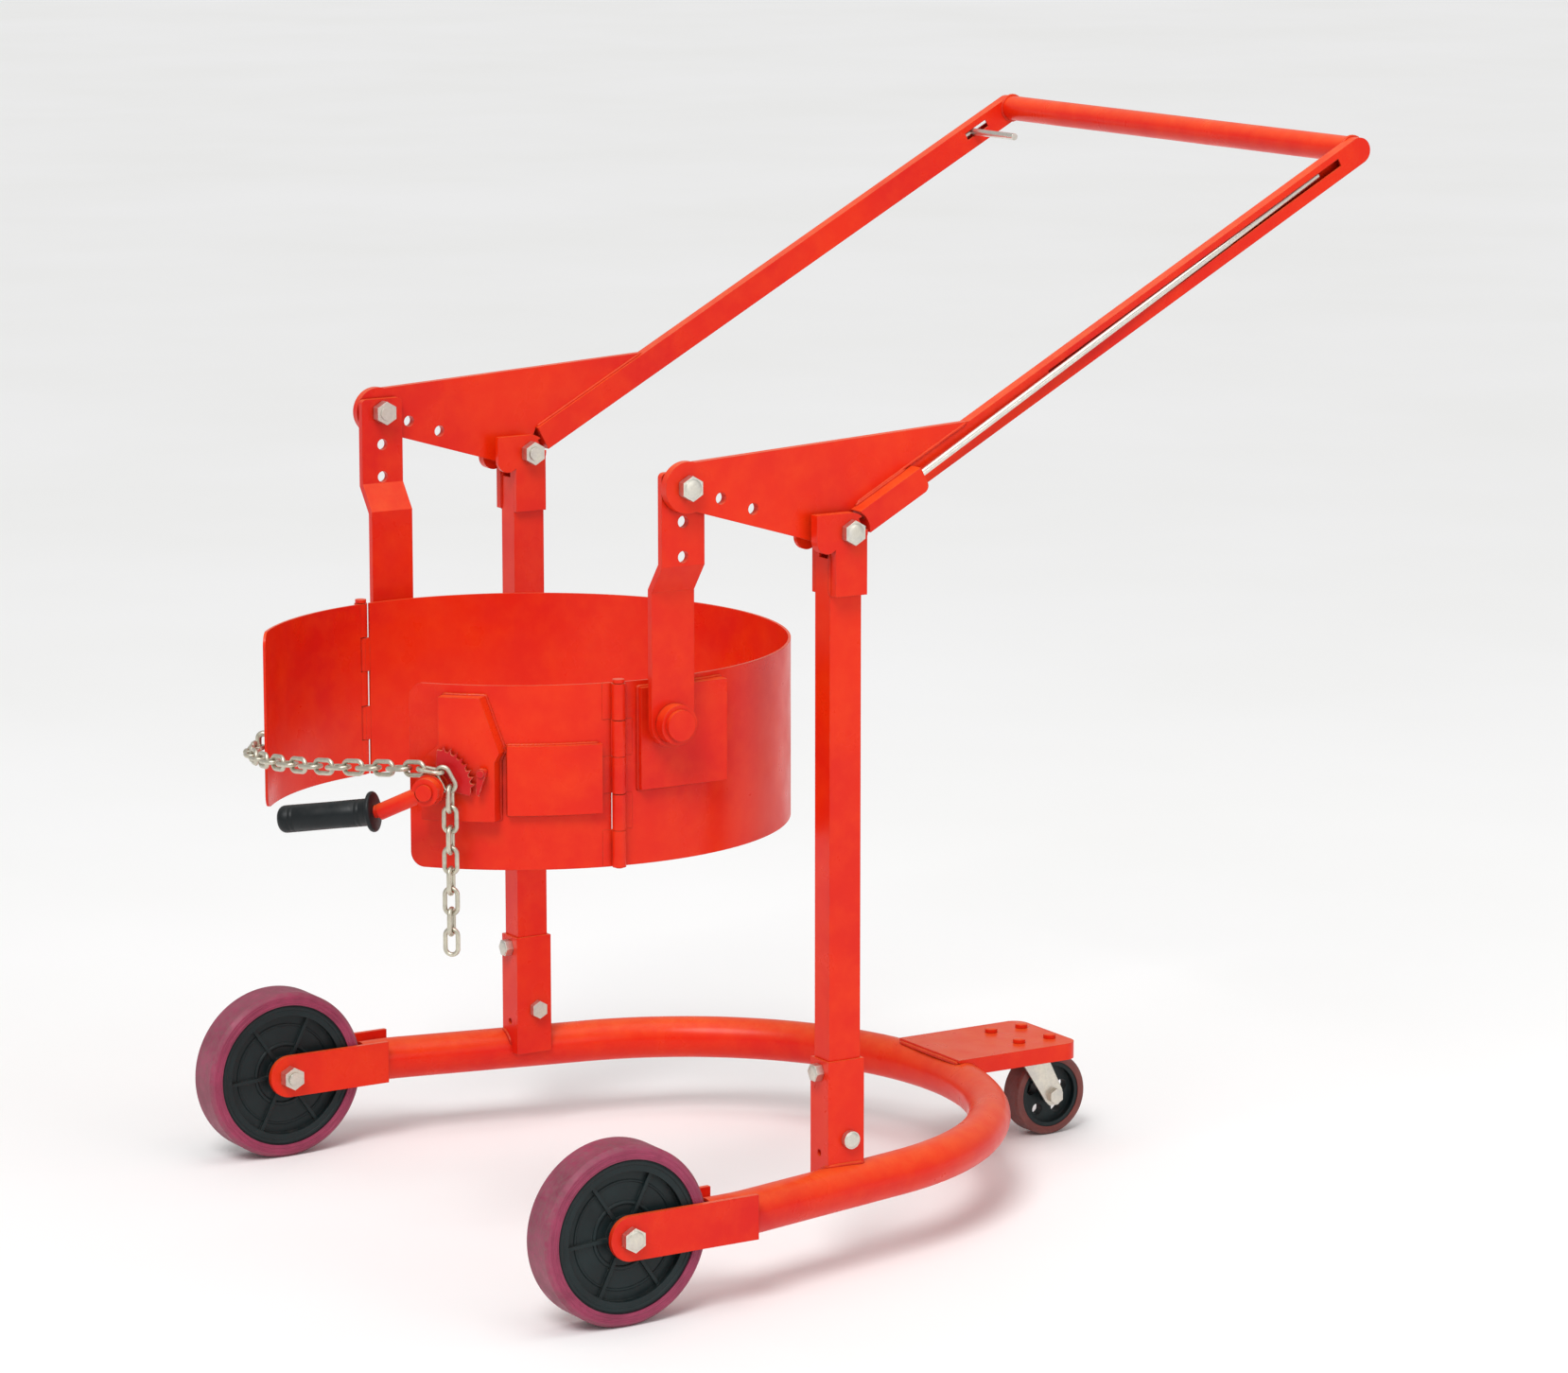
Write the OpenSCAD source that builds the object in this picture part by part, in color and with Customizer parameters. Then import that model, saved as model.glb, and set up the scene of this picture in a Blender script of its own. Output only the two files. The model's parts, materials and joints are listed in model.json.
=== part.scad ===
// Manual drum dolly: a three-point wheeled base, two posts, a lever frame, hanger links and a clamp saddle.
// Millimetres, +Z up, floor at z = 0, origin on the floor under the centre of the clamp saddle.
// The open front faces -Y, the handle end faces +Y, the right-hand side is +X.

/* [Base] */
// Outer diameter of the base tube
tube_d = 50; // [40:1:60]
// Wall of the base tube
tube_wall = 3.2; // [2:0.1:5]
// Height of the base tube centreline
tube_z = 96; // [80:1:110]
// Centreline radius of the rear bend
bend_r = 358; // [340:1:380]
// Distance from the origin to the centre of the rear bend
bend_y = 200; // [180:1:220]
// Angle each leg splays outward
splay = 12; // [8:0.5:14]

/* [Wheels] */
// Front wheel diameter
wheel_d = 200; // [160:5:220]
// Front wheel width
wheel_w = 48; // [40:1:50]
// Half of the distance between the front wheels
wheel_x = 402; // [395:1:410]
// Distance from the origin forward to the front axle
axle_y = -118; // [-130:1:-105]
// Caster wheel diameter
caster_d = 100; // [90:1:100]
// Distance from the origin back to the caster kingpin
kingpin_y = 676; // [665:1:690]
// Trail of the caster wheel behind the kingpin
trail = 35; // [30:1:38]

/* [Posts and lever] */
// Half of the distance between the posts
post_x = 351; // [345:1:355]
// Distance from the origin back to the posts
post_y = 193; // [185:1:200]
// Height of the lever pivot on the posts
pivot_z = 829; // [800:1:850]
// Height of the front lever pivots
front_z = 890; // [870:1:910]
// Slope of the handle rails above the horizontal
rail_slope = 28.5; // [20:0.5:35]
// Length from the post pivot to the crossbar
rail_len = 790; // [700:5:850]
// Diameter of the crossbar
crossbar_d = 30; // [26:1:30]

/* [Saddle] */
// Inner radius of the saddle band, for a 210 litre drum
band_r = 295; // [290:1:300]
// Sheet thickness of the band
sheet = 3; // [2:0.5:4]
// Height of the band
band_h = 202; // [180:1:220]
// Height of the lower edge of the band
band_z = 473; // [460:1:490]
// Height of the trunnion axis
trunnion_z = 630; // [620:1:640]
// Pitch of the cinch chain
pitch = 22.4; // [22.3:0.1:22.8]
// Wire diameter of the cinch chain
wire = 5; // [4:0.5:6]

/* [Hidden] */
$fn = 48;
tube_r = tube_d / 2;
wheel_r = wheel_d / 2;
caster_r = caster_d / 2;
leg_x0 = bend_r * cos(splay);
leg_y0 = bend_y + bend_r * sin(splay);
turn_r = 150;
leg_len = (wheel_x - turn_r * (1 - cos(splay)) - leg_x0) / sin(splay);
leg_y1 = leg_y0 - leg_len * cos(splay);
turn_y = leg_y1 - turn_r * sin(splay);
tube_end_y = -8;
fork_gap = tube_d / 2 + 0.3;
fork_t = 6;
plate_h = 50;
post_w = 30;
post_d = 40;
socket_top = 240;
cheek_r = 21;
lever_t = 10;
lever_x = post_x - lever_t / 2 + 2.5;
rail_w = 15;
rail_h = 30;
rail_x = lever_x + lever_t - rail_w;
hinge_a = 80;
wing_a0 = 36;
wing_a1 = 78.7;
barrel_r = 7.5;
barrel_R = band_r + 8;
out_r = band_r + sheet;
clamp_a = 43;
clamp_z = 567;
housing_a = 38;
chain_R = out_r + 34.2;
drape_r = out_r + 10.8;
bracket_top = 125;
rod_n = 3;
rod_in = asin(17.6 / 617);
link_x = lever_x - 9.5;
low_x = link_x - 22;

// Helpers

module pair() {
    children();
    mirror([1, 0, 0]) children();
}

// A flat shape drawn in (y, z) and given a thickness along x.
module yz(x0, t) {
    translate([x0, 0, 0]) rotate([90, 0, 90]) linear_extrude(t) children();
}

// A cylinder along x.
module xcyl(x0, x1, y, z, r) {
    translate([x0, y, z]) rotate([0, 90, 0]) cylinder(h = x1 - x0, r = r);
}

// A hexagon prism along x.
module xhex(x0, x1, y, z, af) {
    translate([x0, y, z]) rotate([0, 90, 0]) cylinder(h = x1 - x0, r = af / 2 / cos(30), $fn = 6);
}

// Local frame of the lever: y runs up the rail, z stands square to it, origin on the pivot.
module at_lever() {
    translate([0, post_y, pivot_z]) rotate([rail_slope, 0, 0]) children();
}

// Local frame on the drum cylinder: -y points outward, x runs rearward along the surface.
module at_angle(a) {
    rotate([0, 0, a]) children();
}

// A curved sheet from angle a0 to a1, counted from the front toward the right.
module shell(a0, a1, r, t, z, h) {
    rotate([0, 0, a0 - 90]) rotate_extrude(angle = a1 - a0, $fn = 96) translate([r, z]) square([t, h]);
}

// Base

// A ring or disc profile for the base tube.
module tube_section(r, bore) {
    difference() {
        circle(r);
        if (bore > 0) circle(bore);
    }
}

// The bends are swaged 0.06 mm over the straight lengths, which run 2 mm into them.
module tube_path(r, bore) {
    translate([0, bend_y, tube_z]) rotate([0, 0, splay]) rotate_extrude(angle = 180 - 2 * splay, $fn = 96)
        translate([bend_r, 0]) tube_section(r + 0.06, bore - 0.06);
    pair() {
        translate([leg_x0, leg_y0, tube_z]) rotate([90, 0, splay]) translate([0, 0, -2])
            linear_extrude(leg_len + 4) tube_section(r, bore);
        translate([wheel_x - turn_r, turn_y, tube_z]) rotate_extrude(angle = splay, $fn = 96)
            translate([turn_r, 0]) tube_section(r + 0.06, bore - 0.06);
        translate([wheel_x, turn_y + 2, tube_z]) rotate([90, 0, 0])
            linear_extrude(turn_y + 2 - tube_end_y) tube_section(r, bore);
    }
}

module base_tube() {
    color("orangered") tube_path(tube_r, tube_r - tube_wall);
}

module fork_plate(x0, y1) {
    yz(x0, fork_t) difference() {
        union() {
            translate([axle_y, wheel_r]) circle(plate_h / 2);
            translate([axle_y, wheel_r - plate_h / 2]) square([y1 - axle_y, plate_h]);
        }
        translate([axle_y, wheel_r]) circle(8.05);
    }
}

module outer_fork_plates() {
    color("orangered") pair() fork_plate(wheel_x + fork_gap, 41);
}

module inner_fork_plates() {
    color("orangered") pair() fork_plate(wheel_x - fork_gap - fork_t, 14);
}

module wheel_axles() {
    color("silver") pair() {
        xcyl(wheel_x - fork_gap - 22, wheel_x + fork_gap + 7, axle_y, wheel_r, 8);
        xhex(wheel_x + fork_gap + fork_t + 0.1, wheel_x + fork_gap + fork_t + 9, axle_y, wheel_r, 24);
    }
}

module wheel_axle_nuts() {
    color("silver") pair() difference() {
        xhex(wheel_x - fork_gap - 19, wheel_x - fork_gap - fork_t - 0.1, axle_y, wheel_r, 24);
        xcyl(wheel_x - fork_gap - 25, wheel_x, axle_y, wheel_r, 8.05);
    }
}

// Posts

module post_socket() {
    difference() {
        translate([post_x - 18.3, post_y - 23.3, tube_z]) cube([36.6, 46.6, socket_top - tube_z]);
        translate([post_x - 15.2, post_y - 20.2, tube_z - 1]) cube([30.4, 40.4, socket_top]);
        tube_path(tube_r + 0.05, 0);
        xcyl(post_x - 30, post_x + 30, post_y + 4, 150, 6.5);
        translate([post_x, post_y - 10, 226]) rotate([90, 0, 0]) cylinder(h = 30, r = 5.1);
        translate([post_x, post_y - 10, 134]) rotate([90, 0, 0]) cylinder(h = 30, r = 4);
    }
}

module post_sockets() {
    color("orangered") pair() post_socket();
}

module post_right() {
    color("orangered") difference() {
        translate([post_x - 15, post_y - 20, 126]) cube([post_w, post_d, pivot_z - 148]);
        translate([post_x - 12, post_y - 17, 125]) cube([post_w - 6, post_d - 6, 800]);
        xcyl(post_x - 30, post_x + 30, post_y + 4, 150, 6.5);
        translate([lever_x - 4, post_y - 30, pivot_z - 30]) cube([lever_t + 8, 60, 100]);
    }
}

module post_left() {
    mirror([1, 0, 0]) post_right();
}

module cheek(x0, t) {
    yz(x0, t) difference() {
        union() {
            translate([post_y, pivot_z]) circle(cheek_r);
            translate([post_y - 44, pivot_z - 8]) square([44, 29]);
            translate([post_y - 30, pivot_z - 8]) circle(14);
            translate([post_y - 20, pivot_z - 70]) square([40, 70]);
        }
        translate([post_y, pivot_z]) circle(8.05);
        for (a = [rail_slope, rail_slope - 20])
            translate([post_y, pivot_z]) rotate(a) translate([14.5, rod_n - 4.8]) square([10, 9.6]);
    }
}

module outer_cheeks() {
    color("orangered") pair() cheek(post_x + 15.1, 12);
}

module inner_cheeks() {
    color("orangered") pair() cheek(post_x - 21.1, 6);
}

module socket_bolts() {
    color("silver") pair() {
        xcyl(post_x - 24, post_x + 19, post_y + 4, 150, 6.4);
        xcyl(post_x + 18.4, post_x + 25, post_y + 4, 150, 10);
        xhex(post_x - 26, post_x - 18.4, post_y + 4, 150, 19);
    }
}

module clamp_screws() {
    color("silver") pair() translate([post_x, post_y - 23.4, 226]) rotate([90, 0, 0]) {
        cylinder(h = 9, r = 10.4, $fn = 6);
        translate([0, 0, -3.2]) cylinder(h = 6, r = 5);
    }
}

module pivot_bolts() {
    color("silver") pair() {
        xcyl(post_x - 35, post_x + 28, post_y, pivot_z, 8);
        xhex(post_x + 27.2, post_x + 36, post_y, pivot_z, 24);
    }
}

module pivot_nuts() {
    color("silver") pair() difference() {
        xhex(post_x - 33, post_x - 21.2, post_y, pivot_z, 24);
        xcyl(post_x - 40, post_x, post_y, pivot_z, 8.05);
    }
}

// Caster

module bracket_outline(w, y0, y1, r) {
    translate([-w / 2, y0]) square([w, y1 - y0 - r]);
    translate([-w / 2 + r, y0]) square([w - 2 * r, y1 - y0]);
    for (x = [-w / 2 + r, w / 2 - r]) translate([x, y1 - r]) circle(r);
}

module caster_bracket() {
    color("orangered") difference() {
        translate([0, 0, bracket_top - 20]) linear_extrude(20) bracket_outline(130, 545, 718, 18);
        translate([0, 0, 90]) linear_extrude(bracket_top - 93.9) bracket_outline(122, 530, 714, 14);
        translate([0, bend_y, tube_z]) rotate([0, 0, 60])
            rotate_extrude(angle = 60, $fn = 96) translate([bend_r, 0]) circle(tube_r + 0.05);
        translate([-80, 500, 80]) cube([160, bend_y + bend_r - 508, tube_z + tube_r - 79.9]);
        for (x = [-30, 30], y = [-22, 22])
            translate([x, kingpin_y + y, 100]) cylinder(h = 40, r = 5.1);
    }
}

module caster_plate() {
    color("silver") difference() {
        translate([-41, kingpin_y - 33, bracket_top - 8.1]) cube([82, 66, 4]);
        translate([0, kingpin_y, 100]) cylinder(h = 40, r = 6.05);
        for (x = [-30, 30], y = [-22, 22])
            translate([x, kingpin_y + y, 100]) cylinder(h = 40, r = 5.1);
    }
}

module caster_bolts() {
    color("silver") for (x = [-30, 30], y = [-22, 22]) translate([x, kingpin_y + y, 0]) {
        translate([0, 0, bracket_top + 0.1]) cylinder(h = 4.5, r = 7.5);
        translate([0, 0, bracket_top - 18]) cylinder(h = 18.5, r = 5);
    }
}

module caster_nuts() {
    color("silver") for (x = [-30, 30], y = [-22, 22]) translate([x, kingpin_y + y, 0]) difference() {
        translate([0, 0, bracket_top - 14.4]) cylinder(h = 6.2, r = 9.2, $fn = 6);
        translate([0, 0, 105]) cylinder(h = 20, r = 5.05);
    }
}

module caster_leg() {
    yz(19.2, 3) difference() {
        polygon([[kingpin_y - 20, 110], [kingpin_y + 20, 110], [kingpin_y + trail + 12, caster_r + 6],
            [kingpin_y + trail + 12, caster_r - 6], [kingpin_y + trail + 6, caster_r - 12],
            [kingpin_y + trail - 6, caster_r - 12], [kingpin_y + trail - 12, caster_r - 6]]);
        translate([kingpin_y + trail, caster_r]) circle(5.05);
    }
}

module caster_fork() {
    color("silver") {
        difference() {
            union() {
                translate([0, kingpin_y, 107]) cylinder(h = 3, r = 22.2);
                translate([0, kingpin_y, 110]) cylinder(h = 6.5, r = 25);
                translate([-22.2, kingpin_y - 20, 107]) cube([44.4, 40, 3]);
                pair() caster_leg();
            }
            translate([0, kingpin_y, 100]) cylinder(h = 40, r = 6.05);
        }
    }
}

module caster_kingpin() {
    color("silver") {
        translate([0, kingpin_y, 104.8]) cylinder(h = bracket_top - 109, r = 6);
        translate([0, kingpin_y, 102.6]) cylinder(h = 4, r = 10);
    }
}

module caster_axle() {
    color("silver") {
        xcyl(-28, 28, kingpin_y + trail, caster_r, 5);
        xhex(22.3, 28.5, kingpin_y + trail, caster_r, 17);
        xhex(-28.5, -22.3, kingpin_y + trail, caster_r, 17);
    }
}

module caster_core() {
    color("black") difference() {
        union() {
            xcyl(-14, 14, kingpin_y + trail, caster_r, 39.9);
            xcyl(-18.8, 18.8, kingpin_y + trail, caster_r, 10);
        }
        difference() {
            union() {
                xcyl(6, 20, kingpin_y + trail, caster_r, 35);
                xcyl(-20, -6, kingpin_y + trail, caster_r, 35);
            }
            xcyl(-21, 21, kingpin_y + trail, caster_r, 11);
        }
        xcyl(-30, 30, kingpin_y + trail, caster_r, 5.05);
        for (a = [0:72:288]) translate([0, kingpin_y + trail, caster_r]) rotate([a + 18, 0, 0])
            xcyl(-30, 30, 23, 0, 7);
    }
}

module caster_tread() {
    color("sienna") translate([0, kingpin_y + trail, caster_r]) rotate([0, 90, 0])
        rotate_extrude($fn = 96) polygon([[40, -15], [48, -15], [50, -12], [50, 12], [48, 15], [40, 15]]);
}

// Front wheels

module wheel_core(s) {
    color("dimgray") translate([s * wheel_x, axle_y, wheel_r]) rotate([0, 90, 0]) difference() {
        union() {
            difference() {
                cylinder(h = wheel_w - 4, r = 84.9, center = true, $fn = 96);
                translate([0, 0, 14]) cylinder(h = wheel_w, r = 72, $fn = 96);
                translate([0, 0, -14 - wheel_w]) cylinder(h = wheel_w, r = 72, $fn = 96);
            }
            cylinder(h = 50, r = 22, center = true);
            for (a = [34:60:334]) rotate(a) translate([20, -2, -18]) cube([53, 4, 36]);
        }
        cylinder(h = 80, r = 8.05, center = true);
    }
}

module wheel_tyre(s) {
    color("purple") translate([s * wheel_x, axle_y, wheel_r]) rotate([0, 90, 0])
        rotate_extrude($fn = 96) polygon([[85, -wheel_w / 2], [96, -wheel_w / 2], [wheel_r, -wheel_w / 2 + 5],
            [wheel_r, wheel_w / 2 - 5], [96, wheel_w / 2], [85, wheel_w / 2]]);
}

module wheel_core_right() {
    wheel_core(1);
}

module wheel_tyre_right() {
    wheel_tyre(1);
}

module wheel_core_left() {
    wheel_core(-1);
}

module wheel_tyre_left() {
    wheel_tyre(-1);
}

// Lever frame

function on_rail(t, n) = [post_y + t * cos(rail_slope) - n * sin(rail_slope),
    pivot_z + t * sin(rail_slope) + n * cos(rail_slope)];

module lever_plate_right() {
    color("orangered") difference() {
        union() {
            xcyl(lever_x, lever_x + lever_t, 0, front_z, 28);
            xcyl(lever_x, lever_x + lever_t, post_y, pivot_z, 23);
            yz(lever_x, lever_t) polygon([[-4, front_z + 26], on_rail(195, rail_h / 2), on_rail(28, rail_h / 2),
                on_rail(10, 0), [post_y - 6, pivot_z - 20], [post_y - 52, pivot_z - 5], [7, front_z - 26]]);
        }
        xcyl(0, 400, post_y, pivot_z, 8.05);
        xcyl(0, 400, 0, front_z, 8.05);
        for (d = [43, 86]) xcyl(0, 400, d * 0.94, front_z - d * 0.34, 6.5);
    }
}

module lever_plate_left() {
    mirror([1, 0, 0]) lever_plate_right();
}

module rail_body() {
    difference() {
        union() {
            translate([rail_x, 28.2, -rail_h / 2]) cube([rail_w, rail_len - 28.2, rail_h]);
            xcyl(rail_x, rail_x + rail_w, rail_len, 0, rail_h / 2);
        }
        translate([rail_x + 2, 30.2, -rail_h / 2 + 2]) cube([rail_w - 4, rail_len - 45, rail_h - 4]);
        translate([rail_x + rail_w - 6, 310, rod_n - 4.7]) cube([20, 450, 9.4]);
    }
}

module rail_right() {
    color("orangered") at_lever() rail_body();
}

module rail_left() {
    color("orangered") mirror([1, 0, 0]) at_lever() difference() {
        rail_body();
        translate([rail_x - 2, 715, rod_n - 4.7]) cube([6, 34, 9.4]);
    }
}

module crossbar() {
    color("orangered") at_lever() difference() {
        xcyl(-rail_x + 0.1, rail_x - 0.1, rail_len, 0, crossbar_d / 2);
        xcyl(-rail_x - 1, rail_x + 1, rail_len, 0, crossbar_d / 2 - 2.5);
    }
}

module lock_box() {
    x0 = lever_x + lever_t + 0.1;
    difference() {
        translate([x0, 20, -13.5]) cube([20, 88, 27]);
        xcyl(x0 - 1, x0 + 21, 0, 0, 23.5);
        translate([x0 + 2.5, 36, -11]) cube([15, 68, 22]);
        translate([x0 + 10, 15, rod_n]) rotate([-90, 0, 0]) cylinder(h = 120, r = 4.4);
        yz(x0 - 1, 22) difference() {
            translate([100, -14.5]) square([9, 9]);
            translate([100, -5.5]) circle(8);
        }
    }
}

module lock_box_right() {
    color("orangered") at_lever() lock_box();
}

module lock_box_left() {
    color("orangered") mirror([1, 0, 0]) at_lever() lock_box();
}

module lever_spacers() {
    color("silver") pair() {
        difference() {
            xcyl(lever_x + lever_t + 0.05, post_x + 14.7, post_y, pivot_z, 14);
            xcyl(post_x - 30, post_x + 30, post_y, pivot_z, 8.05);
        }
        difference() {
            xcyl(post_x - 14.7, lever_x - 0.05, post_y, pivot_z, 14);
            xcyl(post_x - 30, post_x + 30, post_y, pivot_z, 8.05);
        }
    }
}

module lock_rod() {
    x0 = lever_x + lever_t + 10.1;
    translate([x0, 25.5, rod_n]) rotate([-90, 0, 0]) cylinder(h = 88, r = 4);
    translate([x0, 48, rod_n]) rotate([-90, 0, 0]) cylinder(h = 3, r = 7);
    translate([x0, 113.5, rod_n]) sphere(4);
    translate([x0, 113.5, rod_n]) rotate([-90, 0, rod_in]) cylinder(h = 617, r = 4);
}

module lock_rod_right() {
    color("silver") at_lever() lock_rod();
}

module lock_rod_left() {
    color("silver") mirror([1, 0, 0]) at_lever() {
        lock_rod();
        xcyl(rail_x - 88, lever_x + lever_t - 4, 728, rod_n, 4.2);
    }
}

// Hanger links

module link_right() {
    color("orangered") difference() {
        union() {
            translate([link_x, -26.5, 806]) cube([8, 53, 94]);
            translate([link_x, -20.5, 899]) cube([8, 41, 7]);
            for (y = [-20.5, 20.5]) xcyl(link_x, link_x + 8, y, 900, 6);
            yz_joggle();
            translate([low_x, -26.5, trunnion_z]) cube([8, 53, 776 - trunnion_z]);
            xcyl(low_x, low_x + 8, 0, trunnion_z, 26.5);
        }
        xcyl(link_x - 1, link_x + 9, 0, front_z, 8.05);
        for (z = [38, 76]) xcyl(link_x - 1, link_x + 9, 0, front_z - z, 6.5);
        xcyl(low_x - 1, low_x + 9, 0, trunnion_z, 12.55);
    }
}

module yz_joggle() {
    translate([0, 26.5, 0]) rotate([90, 0, 0]) linear_extrude(53)
        polygon([[link_x, 807], [link_x + 8, 807], [link_x + 8, 804], [low_x + 8, 774], [low_x, 774],
            [low_x, 777]]);
}

module link_left() {
    mirror([1, 0, 0]) link_right();
}

module link_bolts() {
    color("silver") pair() {
        xcyl(link_x - 14, lever_x + lever_t + 1, 0, front_z, 8);
        xhex(lever_x + lever_t + 0.4, lever_x + lever_t + 10, 0, front_z, 24);
    }
}

module link_nuts() {
    color("silver") pair() difference() {
        union() {
            xhex(link_x - 13, link_x - 1.2, 0, front_z, 24);
            xcyl(link_x + 8.3, lever_x - 0.1, 0, front_z, 13);
        }
        xcyl(link_x - 20, lever_x + 1, 0, front_z, 8.05);
    }
}

// Saddle

module saddle_band() {
    color("orangered") {
        shell(hinge_a + 1.3, 360 - hinge_a - 1.3, band_r, sheet, band_z, band_h);
        pair() for (z = [41, 122]) knuckle(z, 39.4, 1);
    }
}

module knuckle(z, h, s) {
    at_angle(hinge_a) difference() {
        union() {
            translate([0, -barrel_R, band_z + z]) cylinder(h = h, r = barrel_r);
            translate([s > 0 ? 0 : -17, -out_r - 0.3, band_z + z]) cube([17, 3, h]);
        }
        translate([0, -barrel_R, band_z - 5]) cylinder(h = band_h + 20, r = 4.05);
    }
}

module hinge_pins() {
    color("silver") pair() at_angle(hinge_a) {
        translate([0, -barrel_R, band_z - 1]) cylinder(h = band_h + 2, r = 4);
        translate([0, -barrel_R, band_z + band_h + 0.3]) cylinder(h = 4, r = 6.5);
    }
}

module trunnion_plates() {
    color("orangered") pair() difference() {
        translate([out_r - 14, -28, 556]) cube([21, 108, 112]);
        cylinder(h = 1000, r = out_r + 0.05, $fn = 360);
        xcyl(out_r - 10, out_r + 10, 0, trunnion_z, 12.55);
    }
}

module trunnion_pins() {
    color("silver") pair() xcyl(out_r + 0.1, low_x + 9, 0, trunnion_z, 12.5);
}

module trunnion_caps() {
    color("orangered") pair() difference() {
        union() {
            xcyl(low_x + 8.4, low_x + 22, 0, trunnion_z, 22);
            xcyl(low_x + 22, low_x + 27, 0, trunnion_z, 17);
        }
        xcyl(low_x, low_x + 9.2, 0, trunnion_z, 12.6);
    }
}

// Wings

module wing_body() {
    difference() {
        union() {
            shell(wing_a0, wing_a1, band_r, sheet, band_z, band_h);
            for (z = [0, 81, 162]) knuckle(z + 0.3, z < 100 ? 40.3 : 39.4, -1);
        }
        for (s = [0, 1]) at_angle(wing_a0) translate([16, -out_r - 5, band_z + 16 + s * (band_h - 32)])
            rotate([-90, 0, 0]) difference() {
                translate([-20, s > 0 ? -20 : 0, 0]) cube([20, 20, 20]);
                translate([0, 0, -1]) cylinder(h = 30, r = 16);
            }
    }
}

module wing_right() {
    color("orangered") wing_body();
}

module wing_left() {
    color("orangered") mirror([1, 0, 0]) wing_body();
}

module wing_rib() {
    difference() {
        shell(57, 76.4, out_r + 0.05, 8, 534, 76);
        shell(50, 75.8, out_r - 2, 7, 537, 70);
    }
}

module wing_rib_right() {
    color("orangered") wing_rib();
}

module wing_rib_left() {
    color("orangered") mirror([1, 0, 0]) difference() {
        shell(44, 76.4, out_r + 0.05, 8, 534, 76);
        shell(44.6, 75.8, out_r - 2, 7, 537, 70);
    }
}

// Chain clamp, drawn in a local frame whose -y axis points away from the drum

module housing_shape(g) {
    translate([0, -200, 0]) rotate([90, 0, 0]) linear_extrude(200)
        polygon([[10 + g, 529 + g], [90 - g, 529 + g], [90 - g, 594], [95 - g, 604],
            [75 - g, 664 - g], [30 + g, 664 - g], [30 + g, 612], [10 + g, 594 - g]]);
}

module clamp_housing() {
    color("orangered") difference() {
        intersection() {
            at_angle(housing_a) housing_shape(0);
            difference() {
                cylinder(h = 1000, r = out_r + 17, $fn = 96);
                translate([0, 0, -1]) cylinder(h = 1002, r = out_r + 0.05, $fn = 96);
            }
        }
        intersection() {
            at_angle(housing_a) housing_shape(2.5);
            translate([0, 0, -1]) cylinder(h = 1002, r = out_r + 14.5, $fn = 96);
        }
        at_angle(clamp_a) translate([0, -out_r + 1, clamp_z]) rotate([90, 0, 0]) cylinder(h = 60, r = 11);
        at_angle(clamp_a) translate([52.5, -out_r + 12, clamp_z + 17]) rotate([90, 0, 0])
            cylinder(h = 60, r = 4.06);
    }
}

// Places a shape on the clamp axis, at distance d out from the band surface.
module at_clamp(d) {
    at_angle(clamp_a) translate([0, -out_r - d, clamp_z]) rotate([90, 0, 0]) children();
}

module clamp_shaft() {
    color("silver") {
        at_clamp(0.2) cylinder(h = 5, r = 10.6);
        at_clamp(5) cylinder(h = 54, r = 7);
        at_clamp(57.5) cylinder(h = 3, r = 9);
    }
}

module ratchet_sector() {
    color("silver") at_clamp(20) linear_extrude(4) difference() {
        union() {
            circle(16);
            intersection() {
                circle(41);
                polygon([[0, 0], [70, -14], [70, 70], [6, 70]]);
            }
            for (a = [4:10:74]) rotate(a) polygon([[38, -3.6], [46, 1.8], [38, 3.6]]);
        }
        circle(7.05);
    }
}

module ratchet_lever() {
    color("orangered") {
        difference() {
            union() {
                at_clamp(24.2) cylinder(h = 20, r = 16.9);
                at_clamp(44.2) cylinder(h = 12.6, r = 15);
                at_clamp(50.5) rotate(205.2) translate([10.2, 0, 0]) rotate([0, 90, 0]) cylinder(h = 48, r = 9);
            }
            at_clamp(20) cylinder(h = 40, r = 7.05);
            at_clamp(34.2) rotate_extrude() polygon([[10.5, -6.9], [20, -6.9], [20, 6.9], [10.5, 6.9]]);
        }
        at_clamp(50.5) translate([-50, -23.5, 0]) rotate(187.8) translate([-3, 0, 0]) rotate([0, 90, 0])
            cylinder(h = 104, r = 7);
    }
}

module lever_grip() {
    color("black") at_clamp(50.5) translate([-50, -23.5, 0]) rotate(187.8) translate([8, 0, 0])
        rotate([0, 90, 0]) difference() {
            union() {
                cylinder(h = 5, r = 22);
                cylinder(h = 110, r = 15);
            }
            translate([0, 0, -1]) cylinder(h = 96, r = 7.05);
        }
}

module pawl() {
    color("silver") {
        at_clamp(19.8) {
            translate([52.5, 17, 0]) cylinder(h = 4.4, r = 5.5);
            linear_extrude(4.4) polygon([[48, 14], [46.8, -5], [50, -8], [57.5, 15]]);
        }
        at_clamp(4) translate([52.5, 17, 0]) cylinder(h = 22.4, r = 4);
    }
}

module chain_anchor() {
    color("silver") at_angle(anchor_a) translate([0, -out_r, span_end[2] - drop(reach(span_n))]) {
        for (s = [-1, 1]) {
            translate([0, 0, 16 * s]) rotate([90, 0, 0]) cylinder(h = 4.8, r = 3.5);
            translate([0, -4.8, 10 * s]) rotate([90, 0, 90]) rotate(s > 0 ? 90 : 180)
                rotate_extrude(angle = 90) translate([6, 0]) circle(3.5);
        }
        translate([0, -10.8, -10]) cylinder(h = 20, r = 3.5);
    }
}

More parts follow.
